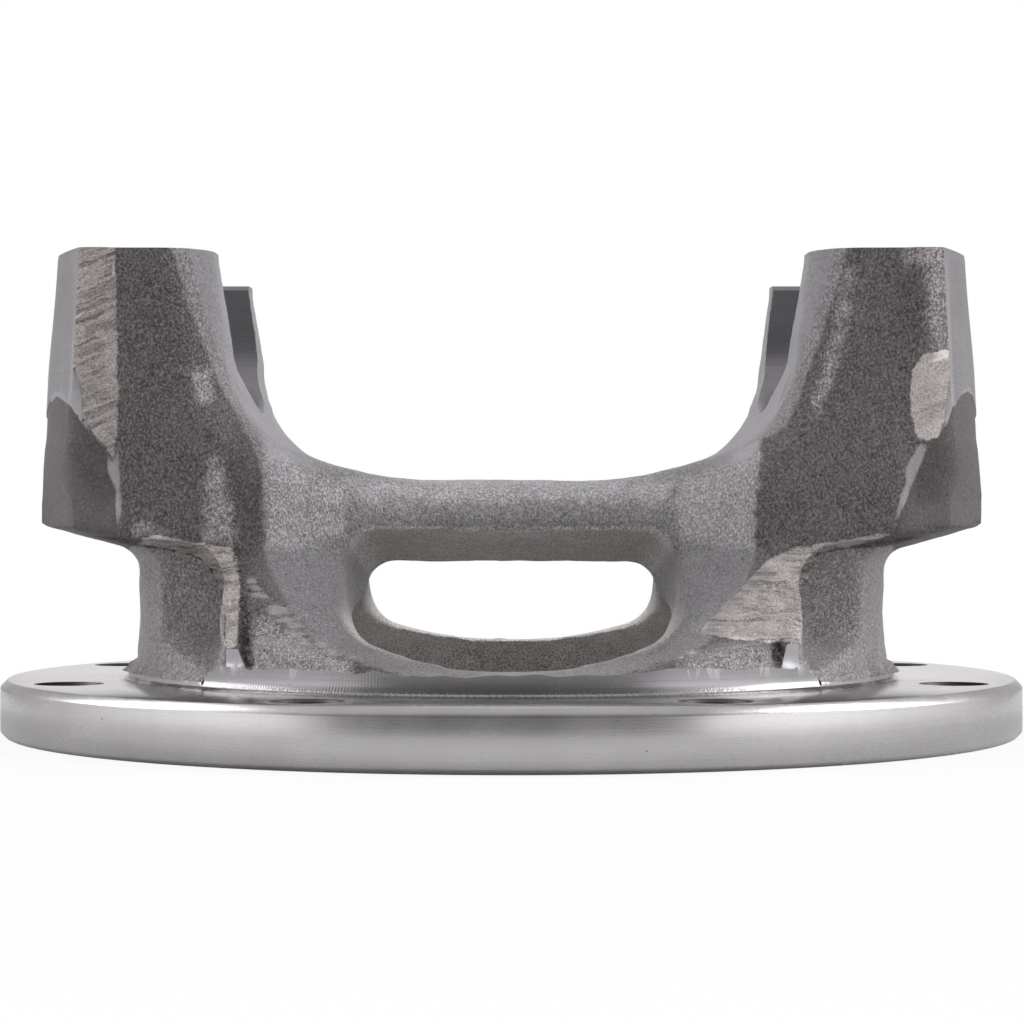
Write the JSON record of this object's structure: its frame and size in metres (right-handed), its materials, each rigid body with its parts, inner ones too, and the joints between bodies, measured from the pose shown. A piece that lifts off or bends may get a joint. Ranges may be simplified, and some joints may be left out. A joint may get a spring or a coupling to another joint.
{
  "type": "forged yoke",
  "caption": "Forged steel flange yoke: a round bolting flange, a hollow hub with a window through it and two ears with half-round bearing seats.",
  "frame": {"origin": "middle of the flange's mounting face, on the flange axis", "axes": "+Z along the flange axis towards the ears, X along the trunnion axis through both bearing seats; the pictured side faces -Y"},
  "size_m": [0.1746, 0.1746, 0.0794],
  "materials": {
    "forged_steel": "grainy dark forged skin, with the flange, hub ring, seats and ear faces turned bright"
  },
  "bodies": {
    "root": {"flange_yoke": "forged_steel"}
  },
  "joints": []
}
